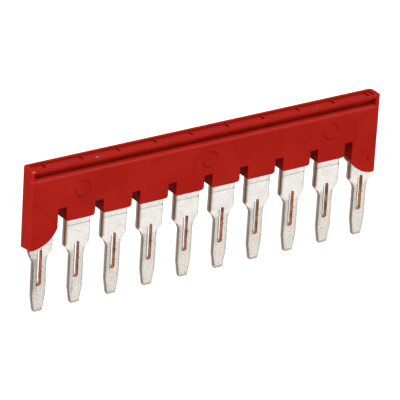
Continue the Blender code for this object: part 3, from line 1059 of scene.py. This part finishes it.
def makeProng(s):
    bpy.ops.object.select_all(action="DESELECT")
    middle = (s["middle"] * mm, s["backY"] * mm, (s["rootZ"] + s["shoulderZ"]) / 2 * mm)
    bpy.ops.mesh.primitive_plane_add(size=1, location=middle, rotation=(math.pi / 2, 0, 0))
    prong = bpy.context.object
    prong.scale = (2 * s["half"] * mm, (s["rootZ"] - s["shoulderZ"]) * mm, 1)
    placeInMesh(prong, "prong")
    bpy.ops.object.mode_set(mode="EDIT")
    selectPoints(prong, lambda co: abs(co.z - s["shoulderZ"]) < 0.01)
    neck, lean = s["neckHalf"], s["neckMiddle"]
    pullEdge(s["shoulderZ"], s["neckZ"], s["half"], neck, s["middle"], lean)
    pullEdge(s["neckZ"], s["taperZ"], neck, neck, lean, lean)
    pullEdge(s["taperZ"], s["tipZ"], neck, s["tipHalf"], lean, lean)
    roundPoints(prong, s["half"], s["middle"], s["shoulderZ"], s["shoulderCorner"])
    roundPoints(prong, neck, lean, s["neckZ"], s["neckCorner"])
    roundPoints(prong, s["tipHalf"], lean, s["tipZ"], s["tipCorner"])
    bpy.ops.mesh.select_all(action="SELECT")
    bpy.ops.mesh.dissolve_limited(angle_limit=math.radians(0.4))
    bpy.ops.mesh.select_all(action="SELECT")
    thick = (s["frontY"] - s["backY"]) * mm
    bpy.ops.mesh.extrude_region_move(TRANSFORM_OT_translate={"value": (0, thick, 0)})
    bpy.ops.mesh.select_all(action="SELECT")
    bpy.ops.mesh.normals_make_consistent(inside=False)
    bpy.ops.object.mode_set(mode="OBJECT")
    roundEdges(prong, lambda edge: isCoinedEdge(edge, s, s["frontY"]), s["coinFront"], 3)
    roundEdges(prong, lambda edge: isCoinedEdge(edge, s, s["backY"]), s["coinBack"], 4)
    cutSlot(prong, s)
    cutCrease(prong, s)
    return prong


def isCoinedEdge(edge, s, y):
    ends = [point.co / mm for point in edge.verts]
    return isOutwardEdge(edge) and all(abs(end.y - y) < 0.01 and end.z < s["coinTopZ"] for end in ends)


def cutSlot(prong, s):
    top = s["slotTopZ"] - s["slotHalf"]
    bottom = s["slotBottomZ"] + s["slotHalf"]
    slot = addRod("slot", (s["slotMiddle"], 0, bottom), s["slotHalf"], 3, "y", 32)
    movePoints(slot, lambda co: co.z > bottom + 0.001, (0, 0, top - bottom))
    combine(prong, [slot])


def cutCrease(prong, s):
    # A shallow line across the wide part
    centreY = s["frontY"] - s["creaseRadius"] + s["creaseDepth"]
    combine(prong, [addRod("crease", (0, centreY, s["creaseZ"]), s["creaseRadius"], 5, "x", 32)])


def makeComb():
    s = combShape
    prong = makeProng(s)
    copies = []
    for place, x in enumerate(prongCentres):
        makeActive(prong)
        bpy.ops.object.duplicate(linked=False)
        bpy.ops.transform.translate(value=(x * mm, 0, 0))
        copies.append(placeInMesh(bpy.context.object, "prong%02d" % (place + 1)))
    bpy.data.objects.remove(prong, do_unlink=True)
    # The first and last prongs are narrower on their outer sides
    movePoints(copies[0], lambda co: co.x < prongCentres[0] - s["outerX"], s["firstShift"])
    movePoints(copies[-1], lambda co: co.x > prongCentres[-1] + s["outerX"], s["lastShift"])
    end = prongCentres[-1] + s["endHalf"]
    low, high = (-end, s["frontY"], s["stripBottomZ"]), (end, s["backY"], s["stripTopZ"])
    comb = addBlock("contactComb", low, high)
    combine(comb, copies, "UNION")
    smoothShade(comb, 40)
    comb.data.materials.clear()
    comb.data.materials.append(makeTinnedCopper())
    print("comb:", len(comb.data.polygons), "faces")
    return comb


housing = makeHousing()
comb = makeComb()
for piece, node, slotName in (
    (housing, "housing", "red_polyamide"),
    (comb, "contact_comb", "tinned_copper"),
):
    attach(piece, "root")
    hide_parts(node)


# Studio

studio = {
    "floorZ": -13.75,
    "floorSize": 4.0,
    "paper": (0.82, 0.82, 0.82),
    "paperGlow": 0.46,
    "sky": 0.70,
    # A grey card at the left takes the shine off what leans that way, a paler one at the right:
    # where its edge starts and ends, the light outside it and the light that it leaves
    "cardWay": (-0.82, -0.57, 0.0),
    "cardLeft": (0.10, 0.80, 1.0, 0.20),
    "cardRight": (-0.35, -0.85, 1.0, 0.72),
}


def makeFloor():
    bpy.ops.object.select_all(action="DESELECT")
    bpy.ops.mesh.primitive_plane_add(size=studio["floorSize"], location=(0, 0, studio["floorZ"] * mm))
    floor = placeInMesh(bpy.context.object, "floor")
    floor.visible_glossy = False  # the metal shows the studio's walls and cards instead
    material, tree, shader = startMaterial("whitePaper")
    shader.inputs["Base Color"].default_value = (*studio["paper"], 1)
    shader.inputs["Roughness"].default_value = 0.9
    shader.inputs["Specular IOR Level"].default_value = 0.0
    path = addNode(tree, "ShaderNodeLightPath")
    seen = calculate(tree, "MAXIMUM", path.outputs["Is Camera Ray"], path.outputs["Is Glossy Ray"])
    seen = calculate(tree, "MAXIMUM", seen, path.outputs["Is Transmission Ray"])
    shader.inputs["Emission Color"].default_value = (1, 1, 1, 1)
    tree.links.new(multiply(tree, seen, studio["paperGlow"]), shader.inputs["Emission Strength"])
    floor.data.materials.append(material)


def makeWorld():
    world = bpy.data.worlds.new("studio")
    bpy.context.scene.world = world
    world.use_nodes = True
    tree = world.node_tree
    back = tree.nodes["Background"]
    path = addNode(tree, "ShaderNodeLightPath")
    place = addNode(tree, "ShaderNodeTexCoord")
    toCard = vectorMath(tree, "DOT_PRODUCT", place.outputs["Generated"], studio["cardWay"])
    walls = multiply(
        tree,
        remap(tree, toCard, *studio["cardLeft"]),
        remap(tree, toCard, *studio["cardRight"]),
    )
    shine = multiply(tree, path.outputs["Is Glossy Ray"], walls)
    seen = calculate(tree, "MAXIMUM", path.outputs["Is Camera Ray"], path.outputs["Is Transmission Ray"])
    shown = calculate(tree, "ADD", shine, seen)
    other = calculate(tree, "SUBTRACT", 1.0, calculate(tree, "MAXIMUM", seen, path.outputs["Is Glossy Ray"]))
    strength = calculate(tree, "ADD", shown, multiply(tree, other, studio["sky"]))
    tree.links.new(strength, back.inputs["Strength"])
    back.inputs["Color"].default_value = (1, 1, 1, 1)


# Direction in degrees from the front, height in degrees, distance and width in metres; a share of 1
# lights a facing surface as brightly as its own colour
lamps = {
    "topBox": {"left": 18, "up": 61, "away": 0.9, "size": (0.4, 0.4), "share": 0.60},
    "sideBox": {"left": 92, "up": 6, "away": 0.9, "size": (0.12, 0.1), "share": 0.20},
}


def makeLights():
    for name, lamp in lamps.items():
        left, up, away = math.radians(lamp["left"]), math.radians(lamp["up"]), lamp["away"]
        data = bpy.data.lights.new(name, "AREA")
        data.shape = "RECTANGLE"
        data.size, data.size_y = lamp["size"]
        data.energy = lamp["share"] * (math.pi * away) ** 2
        box = bpy.data.objects.new(name, data)
        bpy.context.scene.collection.objects.link(box)
        way = Vector((-math.sin(left) * math.cos(up), -math.cos(left) * math.cos(up), math.sin(up)))
        box.location = way * away
        box.rotation_euler = (-way).to_track_quat("-Z", "Y").to_euler()


view = {
    "eye": (-322.748, -462.762, 264.455),
    "target": (-0.288, 0.2, -2.321),
    "roll": 3.503,
    "lens": 387.2,
}


def makeCamera():
    data = bpy.data.cameras.new("camera")
    camera = bpy.data.objects.new("camera", data)
    bpy.context.scene.collection.objects.link(camera)
    eye, target = Vector(view["eye"]) * mm, Vector(view["target"]) * mm
    ahead = (target - eye).normalized()
    right = ahead.cross(Vector((0, 0, 1))).normalized()
    up = right.cross(ahead)
    roll = math.radians(view["roll"])
    across = math.cos(roll) * right + math.sin(roll) * up
    upward = math.cos(roll) * up - math.sin(roll) * right
    place = Matrix((across, upward, -ahead)).transposed().to_4x4()
    place.translation = eye
    camera.matrix_world = place
    data.lens = view["lens"]
    data.sensor_width = 36
    data.clip_start, data.clip_end = 0.01, 20
    bpy.context.scene.camera = camera


makeFloor()
makeWorld()
makeLights()
makeCamera()
bpy.context.scene.view_settings.view_transform = "Standard"
print("studio: floor, world, lights and camera")
